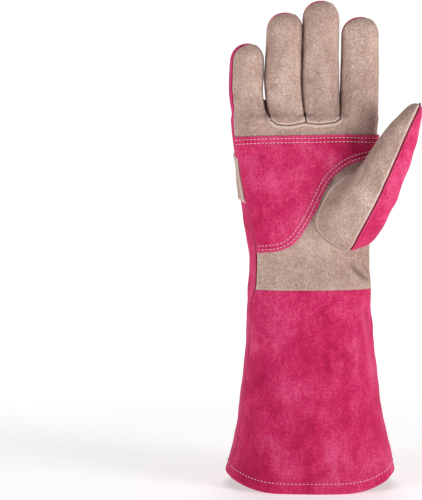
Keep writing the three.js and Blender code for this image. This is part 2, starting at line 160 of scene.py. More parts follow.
def slope_of(level, places):
    """The level's value and its slope along X, Y and Z, by differences over a tenth of a millimetre."""
    value = level(places)
    moves = np.eye(3) * 0.1
    return value, np.stack([(level(places + move) - value) / 0.1 for move in moves], axis=1)


def settle(places, level, steps=8):
    """Puts places on the skin and gives the outward direction there. Each step goes down the level's slope
    by its value, at most 2 mm."""
    for _ in range(steps):
        value, slope = slope_of(level, places)
        move = slope * (value / np.maximum((slope**2).sum(1), 1e-3))[:, None]
        size = np.linalg.norm(move, axis=1, keepdims=True)
        places = places - move * np.minimum(1, 2 / np.maximum(size, 1e-9))
    slope = slope_of(level, places)[1]
    return places, slope / np.linalg.norm(slope, axis=1, keepdims=True)


def waves(places, length, seed, count=14):
    """Soft random swells: cosines along count random directions, about length mm from crest to crest."""
    dice = np.random.default_rng(seed)
    ways = dice.normal(size=(count, 3))
    ways /= np.linalg.norm(ways, axis=1, keepdims=True)
    lengths = length * dice.uniform(0.7, 1.6, count)
    phases = dice.uniform(0, 2 * np.pi, count)
    return np.cos(places @ (ways * (2 * np.pi / lengths)[:, None]).T + phases).sum(1) / np.sqrt(count)


# folds of the leather: side, x and z of both ends, half width, height; a sharp hollow is a crease
folds = np.array([
    (-1, 34, 134, 40, 104, 2.6, 1.3), (-1, 40, 106, 44, 66, 2.6, 1.2), (-1, 36, 132, 31, 70, 6.5, 1.2),
    (-1, 24, 128, 22, 86, 8, -1.1), (-1, 45, 118, 44, 60, 7, -0.9), (-1, 26, 165.5, 43.5, 151, 2.3, -2.2),
    (-1, 36, 166, 46.5, 153.5, 1.6, -1.4), (-1, 31, 174, 46, 161, 4, 1.3), (-1, 20, 158, 40, 146, 4.5, 1.0),
    (-1, -38, 176, -10, 160, 6, -0.9), (-1, -40, 150, -8, 166, 5, 0.7), (-1, -20, 120, 10, 70, 14, -0.8),
    (-1, -30, 60, 20, 40, 13, 0.9), (-1, -44, 100, -38, 30, 9, 0.9), (-1, 8, 232, 26, 216, 4, -0.8),
    (-1, -39, 292, -22, 296, 2.4, -0.6), (-1, -11, 301, 7, 297, 2.4, -0.5), (-1, 20, 290, 38, 295, 2.6, -0.6),
    (-1, -66, 289, -52, 287, 2.2, -0.5), (-1, 22, 312, 37, 309, 2.4, -0.35), (1, -30, 190, 10, 176, 9, -1.0),
    (1, -28, 172, 16, 160, 7, 0.9), (1, 20, 150, 34, 90, 8, 0.9), (1, -40, 140, -20, 60, 10, -0.9),
    (1, 0, 120, 24, 50, 12, -0.8), (1, -36, 262, 26, 264, 6, -0.7), (1, -28, 276, -12, 280, 3, -0.5),
    (1, 2, 278, 14, 284, 3, -0.5),
])


def fold_shape(places, fold, narrow=1.0):
    """One fold's height over the panel: a ridge or a hollow that falls off like a bell beside its line and to
    nothing at its ends."""
    side, x0, z0, x1, z1, reach, rise = fold
    x, y, z = places.T
    run = np.array([x1 - x0, z1 - z0])
    along = np.clip(((x - x0) * run[0] + (z - z0) * run[1]) / (run @ run), 0, 1)
    away = np.hypot(x - x0 - along * run[0], z - z0 - along * run[1])
    return rise * 4 * along * (1 - along) * bell(away / reach / narrow) * step(side * y / 10)


def slack(places):
    """How far the soft leather stands off its pattern: long and short swells, less on the fingers, and folds."""
    long_swell, short_swell, calmed, calm_below, calm_height = 0.55, 0.22, 0.7, 6, 14
    calm = 1 - calmed * step((places[:, 2] - root_z + calm_below) / calm_height)
    swells = long_swell * waves(places, 46, 3) + short_swell * waves(places, 15, 8)
    return swells * calm + sum(fold_shape(places, fold) for fold in folds)


def creased(places, lines=folds):
    """How deep a place lies in a sharp crease, in mm, or less than 0 on a sharp ridge."""
    widest_crease = 3.5
    return -sum(fold_shape(places, fold, 0.7) for fold in lines if fold[5] < widest_crease)


def nearest(places, line):
    """The distance from each place to the nearest point of a line, worked out in blocks."""
    if len(line) == 0:
        return np.full(len(places), 99.0)
    found = [
        np.sqrt(((block[:, None] - line[None]) ** 2).sum(2).min(1))
        for block in np.array_split(places, len(places) // 2000 + 1)
    ]
    return np.concatenate(found)


def at_seam(away):
    """Height beside a sewn edge: turned in at the edge, and rolled up a little beside it, both as bells."""
    groove, groove_width, roll, roll_away, roll_width = 1.2, 0.8, 0.3, 2.2, 1.5
    return roll * bell((away - roll_away) / roll_width) - groove * bell(away / groove_width)


def cut(places, sewn="", raw="", drop=None):
    """One grid of a panel, with its sewn and raw edges, and how far each place is folded in."""
    marks = {}
    for kind, edges in (("sewn", sewn), ("raw", raw)):
        if isinstance(edges, str):
            mark = np.zeros(places.shape[:2], bool)
            mark[0] |= "low" in edges
            mark[-1] |= "high" in edges
            mark[:, 0] |= "ulnar" in edges
            mark[:, -1] |= "radial" in edges
            edges = mark
        marks[kind] = edges
    return {"places": places, "drop": np.zeros(places.shape[:2]) if drop is None else drop, **marks}


def grid_faces(index, closed=False):
    """The corners of each face of a grid, from its places' numbers. A closed grid's columns meet in a ring."""
    beside = np.roll(index, -1, axis=-1)
    faces = np.stack([index[..., :-1, :], beside[..., :-1, :], beside[..., 1:, :], index[..., 1:, :]], -1)
    return (faces if closed else faces[..., :-1, :]).reshape(-1, 4)


def turned_out(faces, places, out):
    """The faces, all turned round if most of them point against the outward directions at their corners."""
    corner = places[faces]
    facing = np.cross(corner[:, 2] - corner[:, 0], corner[:, 3] - corner[:, 1])
    return faces[:, ::-1] if (facing * out[faces].mean(1)).sum() < 0 else faces


def mesh_piece(name, places, faces, skins, marks=(), recalculate=False):
    """A mesh object with its materials, from places in mm in the row frame. Each mark becomes an attribute."""
    mesh = bpy.data.meshes.new(name)
    mesh.from_pydata((places + [rim_middle, 0, 0]) / 1000, [], faces)
    for mark, values in dict(marks).items():
        mesh.attributes.new(mark, "FLOAT", "POINT").data.foreach_set("value", values.astype(np.float32))
    for skin in skins:
        mesh.materials.append(skin)
    sheet = bmesh.new()
    sheet.from_mesh(mesh)
    bmesh.ops.remove_doubles(sheet, verts=sheet.verts, dist=3e-5)
    bmesh.ops.delete(sheet, geom=[vert for vert in sheet.verts if not vert.link_faces], context="VERTS")
    if recalculate:
        bmesh.ops.recalc_face_normals(sheet, faces=sheet.faces)
    sheet.to_mesh(mesh)
    sheet.free()
    mesh.shade_smooth()
    piece = bpy.data.objects.new(name, mesh)
    bpy.context.scene.collection.objects.link(piece)
    return piece


def leather_piece(name, places, faces, skins, seam_away, worn_away, crease):
    """A panel with its wall, which goes inwards from its face. A second material is for the cut edges. Distances
    from the seams and from cut edges and lips are kept up to far mm; they place the painted shade and highlights."""
    far = 30
    marks = {"seam": np.minimum(seam_away, far), "raw": np.minimum(worn_away, far), "crease": crease}
    piece = mesh_piece(name, places, faces.tolist(), skins, marks)
    wall = piece.modifiers.new("thickness", "SOLIDIFY")
    wall.thickness = leather / 1000
    wall.offset = -1
    wall.material_offset_rim = len(skins) - 1
    return piece


def lay_leather(name, skins, grids, level, lift=0.0, seam_line=(), lips=(), stitch_lines=(), hole=None):
    """A panel: its grids are settled on the skin, then raised by lift and slack, turned in at the seams, and
    pressed down along its stitches. A lip, given by its line and height, stands up beside a seam, and a high one
    gets a painted highlight. Faces in the hole are left out."""
    skin, out = settle(np.concatenate([grid["places"].reshape(-1, 3) for grid in grids]), level)
    sewn, raw, drop = (np.concatenate([grid[kind].ravel() for grid in grids]) for kind in ("sewn", "raw", "drop"))
    seam_away = nearest(skin, np.vstack([skin[sewn], *([seam_line] if len(seam_line) else [])]))
    raw_away = nearest(skin, skin[raw])
    stitch_away = nearest(skin, np.vstack([np.empty((0, 3)), *stitch_lines]))
    stitch_press, stitch_width, edge_reach, edge_curl, edge_width = 0.45, 1.2, 6, 0.25, 1.4
    height = lift + slack(skin) + at_seam(seam_away) - stitch_press * bell(stitch_away / stitch_width)
    height += np.where(raw_away < edge_reach, edge_curl * bell(raw_away / edge_width) * waves(skin, 7, 5), 0)
    # Distance to cut edges and lips: cut edges turn pale, and lips get a painted highlight, faint on a low lip.
    worn_away, seam_to_lip, lip_width, low_lip, hardly_worn = raw_away, 1.1, 0.8, 0.5, 1.2
    for line, rise in lips:
        lip_away = np.abs(nearest(skin, line) - seam_to_lip)
        height += rise * bell(lip_away / lip_width)
        worn_away = np.minimum(worn_away, lip_away + (0 if rise > low_lip else hardly_worn))
    places = skin + out * (height + drop)[:, None]
    faces, start = [], 0
    for grid in grids:
        count = grid["sewn"].size
        faces.append(grid_faces(np.arange(start, start + count).reshape(grid["sewn"].shape)))
        start += count
    faces = turned_out(np.concatenate(faces), places, out * (drop > -1)[:, None])
    if hole is not None:
        faces = faces[~hole(skin)[faces].all(1)]
    return leather_piece(name, places, faces, skins, seam_away, worn_away, creased(skin))


def new_material(name):
    """An empty node material, and its tree."""
    material = bpy.data.materials.new(name)
    material.use_nodes = True
    material.node_tree.nodes.clear()
    return material, material.node_tree


def add_node(tree, kind, inputs=(), **settings):
    """Adds a node, sets its properties, and fills its inputs with values or with links from other sockets."""
    node = tree.nodes.new("ShaderNode" + kind)
    for name, value in settings.items():
        setattr(node, name, value)
    for socket, value in dict(inputs).items():
        if isinstance(value, bpy.types.NodeSocket):
            tree.links.new(value, node.inputs[socket])
        else:
            node.inputs[socket].default_value = value
    return node


def noise(tree, vector, scale, detail, roughness=0.5, distortion=0.0):
    """The value of a noise texture."""
    return add_node(tree, "TexNoise", {"Vector": vector, "Scale": scale, "Detail": detail, "Roughness": roughness,
                                       "Distortion": distortion}).outputs["Fac"]


def calc(tree, operation, *values, clamp=False):
    """A sum, a product or the like, of sockets and numbers."""
    return add_node(tree, "Math", dict(enumerate(values)), operation=operation, use_clamp=clamp).outputs[0]


def ramp(tree, value, low, high, start=0.0, end=1.0, smooth=False):
    """Goes from start to end as the value goes from low to high, straight or easing in and out."""
    limits = {"From Min": low, "From Max": high, "To Min": start, "To Max": end}
    return add_node(tree, "MapRange", {"Value": value, **limits},
                    interpolation_type="SMOOTHSTEP" if smooth else "LINEAR").outputs[0]


def blend(tree, share, first, second):
    """Mixes two colours."""
    return add_node(tree, "Mix", {0: share, "A": first, "B": second}, data_type="RGBA").outputs["Result"]


def finish_with(tree, inputs):
    """Ends a material in one principled shader."""
    add_node(tree, "OutputMaterial", {"Surface": add_node(tree, "BsdfPrincipled", inputs).outputs[0]})


def new_group(name, inputs, outputs):
    """A node group, and the sockets at its two ends. An input's default value tells its kind: a number, a vector
    of three or a colour of four. The outputs give theirs by name."""
    group = bpy.data.node_groups.new(name, "ShaderNodeTree")
    kinds = {(): "Float", (3,): "Vector", (4,): "Color"}
    for label, value in inputs.items():
        kind = "NodeSocket" + kinds[np.shape(value)]
        group.interface.new_socket(label, in_out="INPUT", socket_type=kind).default_value = value
    for label, kind in outputs.items():
        group.interface.new_socket(label, in_out="OUTPUT", socket_type="NodeSocket" + kind)
    return group, group.nodes.new("NodeGroupInput").outputs, group.nodes.new("NodeGroupOutput").inputs


# Split suede's nap: short fibres in small tufts, brushed different ways, over a slow unevenness of the hide.
nap, nap_given, nap_gives = new_group(
    "suede nap", {"Vector": (0, 0, 0), "Tufts": 820.0, "Pile": 1900.0}, {"Height": "Float", "Shade": "Float"})
tufts = noise(nap, nap_given["Vector"], nap_given["Tufts"], 3.0, 0.65, 0.6)
pile = noise(nap, nap_given["Vector"], nap_given["Pile"], 2.0, 0.6)
hide = noise(nap, nap_given["Vector"], 130.0, 2.0)
fine_relief = calc(nap, "MULTIPLY_ADD", pile, 0.35, calc(nap, "MULTIPLY", tufts, 0.65))
nap.links.new(calc(nap, "MULTIPLY_ADD", hide, 0.9, fine_relief), nap_gives["Height"])
nap.links.new(fine_relief, nap_gives["Shade"])

# The dye_and_painted_light group: clouds where the leather took more or less colour, some streaked along the hide,
# with tufts that catch the light; painted shade, darker along seams and creases; and pale on cut edges, with
# painted highlights on the band beside seams, on lips and on sharp ridges.
dye_and_painted_light, given, gives = new_group(
    "uneven dye",
    {"Vector": (0, 0, 0), "Deep tone and shade": (0.3, 0.01, 0.05, 1), "Dye": (0.5, 0.03, 0.1, 1), "Pale": (0.7, 0.1, 0.2, 1),
     "Shade": 0.5, "Clouds": 1.0, "Speckle": 1.0, "Wear": 0.5, "Seam and crease shade": 0.5}, {"Color": "Color"})
along_hide = add_node(dye_and_painted_light, "Mapping", {"Vector": given["Vector"], "Scale": (1.0, 1.0, 0.45)}).outputs[0]
wide = calc(dye_and_painted_light, "MULTIPLY_ADD", noise(dye_and_painted_light, given["Vector"], 26.0, 5.0, 0.62, 0.5), 1.25, -0.625)
streaks = calc(dye_and_painted_light, "MULTIPLY_ADD", noise(dye_and_painted_light, along_hide, 95.0, 4.0, 0.7), 0.8, -0.4)
cloud = calc(dye_and_painted_light, "MULTIPLY_ADD", calc(dye_and_painted_light, "ADD", wide, streaks), given["Clouds"], 0.4)
grain = calc(dye_and_painted_light, "ADD", given["Shade"], -0.5)
tone = ramp(dye_and_painted_light, calc(dye_and_painted_light, "MULTIPLY_ADD", grain, given["Speckle"], cloud), 0.05, 0.75)
surface_colour = blend(dye_and_painted_light, ramp(dye_and_painted_light, tone, 0.0, 0.5), given["Deep tone and shade"], given["Dye"])
surface_colour = blend(dye_and_painted_light, ramp(dye_and_painted_light, tone, 0.5, 1.0), surface_colour, given["Pale"])
seam_mark, crease_mark, edge_and_lip_mark = (
    add_node(dye_and_painted_light, "Attribute", attribute_name=mark).outputs["Fac"] for mark in ("seam", "crease", "raw"))
in_seam = ramp(dye_and_painted_light, seam_mark, 0.3, 1.1, 1.0, 0.0, smooth=True)
in_crease = calc(dye_and_painted_light, "MULTIPLY", crease_mark, 0.7, clamp=True)
# Painted highlight on sharp ridges.
ridge_highlight = calc(dye_and_painted_light, "MULTIPLY", crease_mark, -0.7, clamp=True)
# Painted shade: the colour turns towards the deep tone in the seam grooves and in sharp creases.
painted_shade = calc(dye_and_painted_light, "MULTIPLY", calc(dye_and_painted_light, "MAXIMUM", in_seam, in_crease), given["Seam and crease shade"])
surface_colour = blend(dye_and_painted_light, painted_shade, surface_colour, given["Deep tone and shade"])
# Painted highlight on the band beside the seams and on lips; cut edges are pale as their own colour.
by_seam = ramp(dye_and_painted_light, seam_mark, 1.2, 2.4, 1.0, 0.0, smooth=True)
rolled = calc(dye_and_painted_light, "MULTIPLY", by_seam, calc(dye_and_painted_light, "SUBTRACT", 1.0, in_seam))
cut_edge_and_lip = ramp(dye_and_painted_light, edge_and_lip_mark, 0.2, 1.8, 1.0, 0.0, smooth=True)
edge_and_highlight_mask = calc(dye_and_painted_light, "MAXIMUM", calc(dye_and_painted_light, "MAXIMUM", rolled, cut_edge_and_lip), ridge_highlight)
worn = calc(dye_and_painted_light, "MULTIPLY", edge_and_highlight_mask, given["Wear"])
dye_and_painted_light.links.new(blend(dye_and_painted_light, worn, surface_colour, given["Pale"]), gives["Color"])


def suede(name, dye_and_light_values, sheen, tint):
    """Suede: the dye_and_painted_light group colours it, with its own values, and paints its shade and highlights;
    the nap group gives its bump, and a little sheen lights the fibres."""
    material, tree = new_material(name)
    place = add_node(tree, "TexCoord").outputs["Object"]
    fibres = add_node(tree, "Group", {"Vector": place}, node_tree=nap).outputs
    colour = add_node(tree, "Group", {"Vector": place, "Shade": fibres["Shade"], **dye_and_light_values}, node_tree=dye_and_painted_light)
    bump = add_node(tree, "Bump", {"Height": fibres["Height"], "Strength": 0.8, "Distance": 0.0009})
    finish_with(tree, {
        "Base Color": colour.outputs["Color"], "Normal": bump.outputs["Normal"], "Roughness": 0.95,
        "Specular IOR Level": 0.12, "Sheen Weight": sheen, "Sheen Roughness": 0.45, "Sheen Tint": (*tint, 1)})
    return material


# In each suede's values, the last two set how pale its cut edges and painted highlights get, and how dark its
# painted shade.
cut_face = {"Clouds": 1.0, "Speckle": 1.5, "Wear": 0.3, "Seam and crease shade": 0.3}
pink = suede("pink suede", {
    "Deep tone and shade": (0.34, 0.006, 0.052, 1), "Dye": (0.53, 0.018, 0.1, 1), "Pale": (0.67, 0.085, 0.21, 1),
    "Clouds": 1.0, "Speckle": 1.5, "Wear": 0.5, "Seam and crease shade": 0.9}, 0.32, (1.0, 0.4, 0.6))
pink_edge = suede("pink cut edge", {
    "Deep tone and shade": (0.5, 0.05, 0.14, 1), "Dye": (0.62, 0.09, 0.19, 1), "Pale": (0.75, 0.2, 0.3, 1), **cut_face},
    0.1, (1.0, 0.7, 0.8))


curve_z = 4.0  # the body's oval at this height gives the rim's curve


def hem_height(x):
    """The rim's curve: level under the middle, then rising with a power of the way to the side, less on the
    little finger's side."""
    level_part, power, ulnar_share = 0.35, 2.2, 0.8
    past = np.clip((np.abs(x) / (hem_width / 2) - level_part) / (1 - level_part), 0, 1)
    return hem_rise * np.where(x < 0, ulnar_share, 1.0) * past**power


def hemmed(side, columns, top):
    """A cuff panel's grid. Its rows start inside, where the folded edge ends, run down the inner layer, round
    the rim on a half circle, and up the outside to its top."""
    share = np.linspace(0, 1, columns)[None]
    angle = lerp(*panel_limits(side, curve_z), share)
    rim = hem_height(body_place(side, angle, curve_z)[..., 0])
    inner, roll = 13.0, 1.6
    down = np.arange(inner, roll, -spacing)
    turn = np.linspace(0, np.pi, 7)[1:-1]
    up = np.linspace(0, 1, int((top - roll) / spacing) + 1)
    height = np.concatenate([
        rim + down[:, None],
        rim + (roll - roll * np.sin(turn))[:, None],
        lerp(rim + roll, top, up[:, None]),
    ])
    drop = np.concatenate([
        np.full(len(down), -2 * roll), -roll - roll * np.cos(turn), np.zeros(len(up)),
    ])[:, None] * np.ones_like(angle)
    low, high = panel_limits(side, height)
    places = body_place(side, lerp(low, high, share), height)
    sewn = np.zeros(places.shape[:2], bool)
    sewn[len(down) + len(turn):, [0, -1]] = True
    return cut(places, sewn=sewn, drop=drop)


wrist_seam = cuff_length + 1.6
cuff_palm = lay_leather("cuff_palm_leather", (pink, pink_edge), [hemmed(-1, 150, wrist_seam)], body_level)
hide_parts("cuff_palm")
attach(cuff_palm, "root")


# Cuff, back: one long panel of the same pink suede, from under the strap to the rim, hemmed the same way.
strap_drop, strap_height = 20.0, 33.0
strap_top = root_z - strap_drop
strap_bottom = strap_top - strap_height
join_z = (strap_top + strap_bottom) / 2
cuff_back = lay_leather("cuff_back_leather", (pink, pink_edge), [hemmed(1, 150, join_z)], body_level)
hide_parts("cuff_back")
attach(cuff_back, "root")


# Hand and finger backs: one pink panel from under the strap, slit between the fingers. Each finger's seam lies
# on its side towards the little finger, and on its back towards the thumb, and crosses over its tip.
finger_length, finger_width, finger_depth = 87.0, 26.6, 24.0
finger_curl = 5.0
tip_roundness = 1.05
seam_gap = 0.3
tip_angle = np.radians(110)  # from the back, round the fingertip, to the seam that crosses it
# length, width, share of the knuckles, lean of the middle and the tip, ulnar seam, back seam below and at the tip
finger_rows = [
    (0.643, 0.925, 0.26, -0.14, -0.094, -0.6, 0.42, 0.5), (0.897, 0.992, 0.24, -0.13, -0.06, -0.06, 0.54, 0.72),
    (0.992, 1.0, 0.235, -0.053, -0.038, -0.06, 0.66, 0.82), (0.86, 1.023, 0.265, 0.026, 0.034, -0.06, 0.65, 0.72),
]
fingers = []
for long, wide_share, root, lean, tip_lean, side_seam, back_seam, tip_seam in finger_rows:
    start = fingers[-1]["high"] if fingers else knuckle_shift - knuckle_width / 2
    width = finger_width * wide_share
    fingers.append({
        "low": start, "high": start + knuckle_width * root, "width": width, "length": finger_length * long,
        "lean": lean * finger_width, "tip_lean": tip_lean * finger_width, "tip": tip_roundness * width / 2,
        "tube_end": root_z + finger_length * long - tip_roundness * width / 2,
        "side_seam": seam_angle(1, side_seam), "back_seam": np.arcsin(back_seam ** (1 / squareness)),
        "tip_seam": np.arcsin(tip_seam ** (1 / squareness)),
    })


def finger_sizes(finger, z):
    """A finger's middle in X and Y, half width and half depth at a height. It leans over like a quarter sine,
    narrows over the first part of its length, is half a millimetre fuller again above that, and curls towards
    the palm with the square of its length."""
    narrow_share, bend_share, foot_size = 0.15, 0.4, 0.7
    fullness, full_by, full_until, fading = 0.5, 8, 30, 25
    up = np.clip((z - root_z) / finger["length"], 0, 1)
    narrowed = step(up / narrow_share)
    rising = finger["lean"] * np.sin(np.pi / 2 * np.minimum(up / bend_share, 1))
    past_bend = np.maximum(0, (up - bend_share) / (1 - bend_share))
    lean = rising + (finger["tip_lean"] - finger["lean"]) * past_bend
    foot = lerp(foot_size, 1, np.clip((z - root_z + root_depth) / root_depth, 0, 1))
    x = (finger["low"] + finger["high"]) / 2 + lean
    y = -finger_curl * (up * finger["length"] / finger_length) ** 2
    half_width = lerp(finger["high"] - finger["low"] - seam_gap, finger["width"], narrowed) / 2 * foot
    fuller = step((z - root_z) / full_by) * (1 - step((z - root_z - full_until) / fading))
    half_width = half_width + fullness * fuller
    return x, y, half_width, lerp(root_depth, finger_depth, narrowed) / 2 * foot


def finger_level(finger, x, y, z):
    """How far a place lies outside a finger: an oval tube below its round end, and an ellipsoid above."""
    mid_x, mid_y, half_width, half_depth = finger_sizes(finger, z)
    power, cap = 2 / squareness, 2.25
    u, v = np.abs(x - mid_x) / half_width + 1e-6, np.abs(y - mid_y) / half_depth + 1e-6
    w = np.maximum(0, z - finger["tube_end"]) / finger["tip"]
    flat = (u**power + v**power) ** (1 / power)
    radius = (flat**cap + w**cap) ** (1 / cap)
    ease = (flat / radius) ** (cap - 1)
    slope = np.sqrt((ease * (u / flat) ** (power - 1) / half_width) ** 2
                    + (ease * (v / flat) ** (power - 1) / half_depth) ** 2
                    + ((w / radius) ** (cap - 1) / finger["tip"]) ** 2)
    return (radius - 1) / slope


def soft_min(first, second, reach):
    """The smaller of two levels, filled in by up to a quarter of reach where they are alike."""
    alike = np.maximum(reach - np.abs(first - second), 0)
    return np.minimum(first, second) - alike**2 / (4 * reach)


def glove_level(places):
    """How far places lie outside the body and the four fingers, joined softly at the finger roots only."""
    body_end, end_round, root_web, finger_web, web_height = root_z + 2, 3.0, 4.0, 0.3, 8
    x, y, z = places.T
    level = -soft_min(-body_level(places), body_end - z, end_round)
    reach = lerp(root_web, finger_web, step((z - root_z) / web_height))
    for finger in fingers:
        level = soft_min(level, np.maximum(finger_level(finger, x, y, z), root_z - root_depth - z), reach)
    return level


body_middle, body_half, _ = body_sizes(root_z)


def boundary_angle(x):
    """The body's angle, from the middle of a side, at which a line between two finger roots lies."""
    share = (x - body_middle) / body_half
    return np.arcsin(np.clip(np.sign(share) * np.abs(share) ** (1 / squareness), -1, 1))


def finger_turn(finger, z):
    """Where the middle of the finger's back panel lies round the finger, and the half angle it covers. The
    seam on the back swings to the side towards the tip."""
    swing_below, swing_height = 20, 26
    swung = step((z - finger["tube_end"] + swing_below) / swing_height)
    radial = lerp(finger["back_seam"], finger["tip_seam"], swung)
    return (radial - finger["side_seam"]) / 2, (radial + finger["side_seam"]) / 2


def finger_place(finger, side, u, z):
    """A place round the finger, u from -1 at its ulnar seam to 1 at the other, over the back or the palm side."""
    x, y, half_width, half_depth = finger_sizes(finger, z)
    middle, half = finger_turn(finger, z)
    angle = middle + u * half if side > 0 else middle + np.pi - u * (np.pi - half)
    return np.stack(np.broadcast_arrays(
        x + half_width * squarish(np.sin(angle)), y + half_depth * squarish(np.cos(angle)), z), axis=-1)


def fingertip(finger, side, u, v):
    """The fingertip's part of a panel. A square, u across and v up, is drawn into a half disc, and the disc is
    laid over the round end: its radius becomes the angle from the panel's middle, out to the seam."""
    disc_x, disc_z = u * np.sqrt(1 - v**2 / 2), v * np.sqrt(1 - u**2 / 2)
    middle, half = finger_turn(finger, finger["tube_end"])
    share, turn = np.hypot(disc_x, disc_z), np.arctan2(disc_z, disc_x)
    seam = lerp(tip_angle, half, np.cos(turn) ** 2)
    angle = share * (seam if side > 0 else np.pi - seam)
    pole = side * np.array([np.sin(middle), np.cos(middle), 0])
    across = np.array([np.cos(middle), -np.sin(middle), 0])
    way = (np.cos(angle)[..., None] * pole + (np.sin(angle) * np.cos(turn))[..., None] * across
           + (np.sin(angle) * np.sin(turn))[..., None] * np.array([0, 0, 1.0]))
    flat = np.hypot(way[..., 0], way[..., 1])
    z = finger["tube_end"] + finger["tip"] * way[..., 2]
    x, y, half_width, half_depth = finger_sizes(finger, z)
    round_x = x + half_width * flat * squarish(way[..., 0] / np.maximum(flat, 1e-9))
    round_y = y + half_depth * flat * squarish(way[..., 1] / np.maximum(flat, 1e-9))
    return np.stack([round_x, round_y, z], axis=-1)


crotch_shift, crotch_y, crotch_z = 1.2, 7.0, root_z + 2.5
tongue_columns = [30, 34, 34, 36]


def tongue_angle(number, side, u, z):
    """The body's angle at a share u of one finger's part of the hand, from its ulnar to its radial boundary."""
    low, high = panel_limits(side, z)
    if number > 0:
        low = boundary_angle(fingers[number]["low"])
    if number < 3:
        high = boundary_angle(fingers[number]["high"])
    return lerp(low, high, (u + 1) / 2)


def tongue(number, side, root_line=None, low_z=None):
    """A finger's part of a panel. Its rows go from the body's oval to the finger's; beside a neighbour, its
    edge passes through the crotch between them. side 1 starts at low_z on the back of the hand, and side -1 at
    the root line on the palm. Both end in the fingertip."""
    finger = fingers[number]
    u = np.linspace(-1, 1, tongue_columns[number] - (6 if side > 0 else 0))[None]
    if side > 0:
        turn_start, turn_height = root_z - 8, 18
        shared = np.linspace(low_z, crotch_z, int((crotch_z - low_z) / spacing))
        own = np.linspace(crotch_z, finger["tube_end"], int((finger["tube_end"] - crotch_z) / spacing))
        z = np.concatenate([shared, own[1:]])[:, None] + 0 * u
    else:
        turn_start = root_line(body_place(side, tongue_angle(number, side, u, root_z), root_z)[..., 0])
        turn_height = 12
        rise = np.linspace(0, 1, int((finger["tube_end"] - turn_start.mean()) / spacing))[:, None]
        z = lerp(turn_start, finger["tube_end"], rise)
    turned = step((z - turn_start) / turn_height)
    angle = tongue_angle(number, side, u, z)
    middle = lerp(body_place(side, angle, z), finger_place(finger, side, u, z), turned[..., None])
    places = middle.copy()
    approach, passage, freeing, edge_share = 8, 16.0, 14, 0.55
    inner_edges = [(-1, 0, "low")] * (number > 0) + [(1, -1, "high")] * (number < 3)
    for end, column, limit in inner_edges:
        corner = np.array([finger[limit] - crotch_shift, crotch_y, crotch_z])
        edge_z = z[:, column]
        if side > 0:
            near_crotch = step((edge_z - crotch_z + approach) / approach)[:, None]
            below = lerp(body_place(side, angle[:, column], edge_z), corner, near_crotch)
            above_z = edge_z
        else:
            past = edge_z - edge_z[0]
            below = body_place(side, angle[:1, column], edge_z[:1])
            below = lerp(below, corner, np.clip(past / passage, 0, 1)[:, None])
            own_height = finger["tube_end"] - edge_z[0] - passage
            above_z = lerp(crotch_z, finger["tube_end"], np.clip((past - passage) / own_height, 0, 1))
        over = corner * [1, 1, 0] + above_z[:, None] * [0, 0, 1]
        free = step((above_z - crotch_z) / freeing)[:, None]
        above = lerp(over, finger_place(finger, side, float(end), above_z), free)
        edge = np.where((above_z > crotch_z)[:, None], above, below)
        near_edge = step((end * u - 1 + edge_share) / edge_share)
        places += near_edge[..., None] * (edge - middle[:, column])[:, None]
    v = np.linspace(0, 1, int(finger["tip"] * 1.5 / spacing) + 1)[1:, None]
    places = np.concatenate([places, fingertip(finger, side, u, v)])
    sewn = np.zeros(places.shape[:2], bool)
    sewn[-1] = sewn[:, 0] = sewn[:, -1] = True
    for end, column, limit in inner_edges if side > 0 else []:
        sewn[:len(z), column] = z[:, column] > crotch_z
    return cut(places, sewn=sewn)


hand_back = lay_leather(
    "hand_back_leather", (pink, pink_edge), [tongue(number, 1, low_z=join_z) for number in range(4)], glove_level)
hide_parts("hand_back")
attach(hand_back, "root")


# Thumb: two long panels of a tube that is set into an oval hole in the palm, beige on the pad's side and pink
# behind. Both narrow to a seam that runs over the thumb's tip.
thumb_length, thumb_base_width, thumb_depth = 91.0, 44.0, 26.0
thumb_spread = np.radians(32.3)
thumb_base = np.array([28.0, -20.0, cuff_length + 59])
thumb_across = np.array([np.cos(thumb_spread), 0, -np.sin(thumb_spread)])
thumb_along = np.array([np.sin(thumb_spread), 0, np.cos(thumb_spread)])
palm_out = np.array([0, -1.0, 0])
# along and out at the section's front, along and out at its back, width
thumb_rows = np.array([
    (-0.26, -0.38, 0.26, -0.46, 0.9), (-0.3, 0.12, 0.27, -0.12, 1), (-0.21, 0.5, 0.3, -0.12, 0.96),
    (-0.03, 0.73, 0.325, -0.13, 0.91), (0.15, 0.81, 0.36, -0.15, 0.86), (0.38, 0.81, 0.45, -0.19, 0.71),
    (0.59, 0.79, 0.61, -0.17, 0.58), (0.755, 0.77, 0.76, -0.12, 0.47), (0.885, 0.69, 0.89, 0, 0.35),
    (0.965, 0.56, 0.97, 0.15, 0.2), (1, 0.36, 1, 0.36, 0.0),
])
# the back seam lies further back at the foot, and the front seam swings to the front towards the tip: places
# along the rows, and the angles there
thumb_back_seam = (np.array([0, 3.5, 5.5, 10]), np.radians([206.0, 206, 232, 232]))
front_seam_turn = (
    np.array([0, 1.5, 3, 4.4, 5.5, 6.5, 7.6, 10]), np.radians([34.0, 33, 29, 24.5, 19, 13, 6, -2]))
# how many mm the outer side stands out, and how many the inner side is drawn in, at places along the rows
thumb_fullness = (np.array([0, 2, 4, 5, 6, 7, 8, 9, 10]), np.array([3.4, 4.2, 4.2, 4.0, 3.4, 1.6, -0.6, -1.2, 0]))
thumb_hollow = (np.array([0, 1, 2, 3, 3.6, 4.3, 5, 6, 7]), np.array([0, 0.5, 3.0, 6.5, 7.5, 6.5, 3.8, 1.2, 0]))
thumb_folds = np.array([
    (-1, 39, 240, 30, 220, 1.7, -0.9), (-1, 45, 240, 42, 219, 2.0, -0.6), (-1, 34, 236, 36, 206, 3.0, 0.5),
    (-1, 52, 226, 40, 214, 2.4, -0.5), (-1, 62, 252, 54, 240, 2.4, -0.4), (-1, 47, 206, 38, 192, 2.4, -0.6),
])


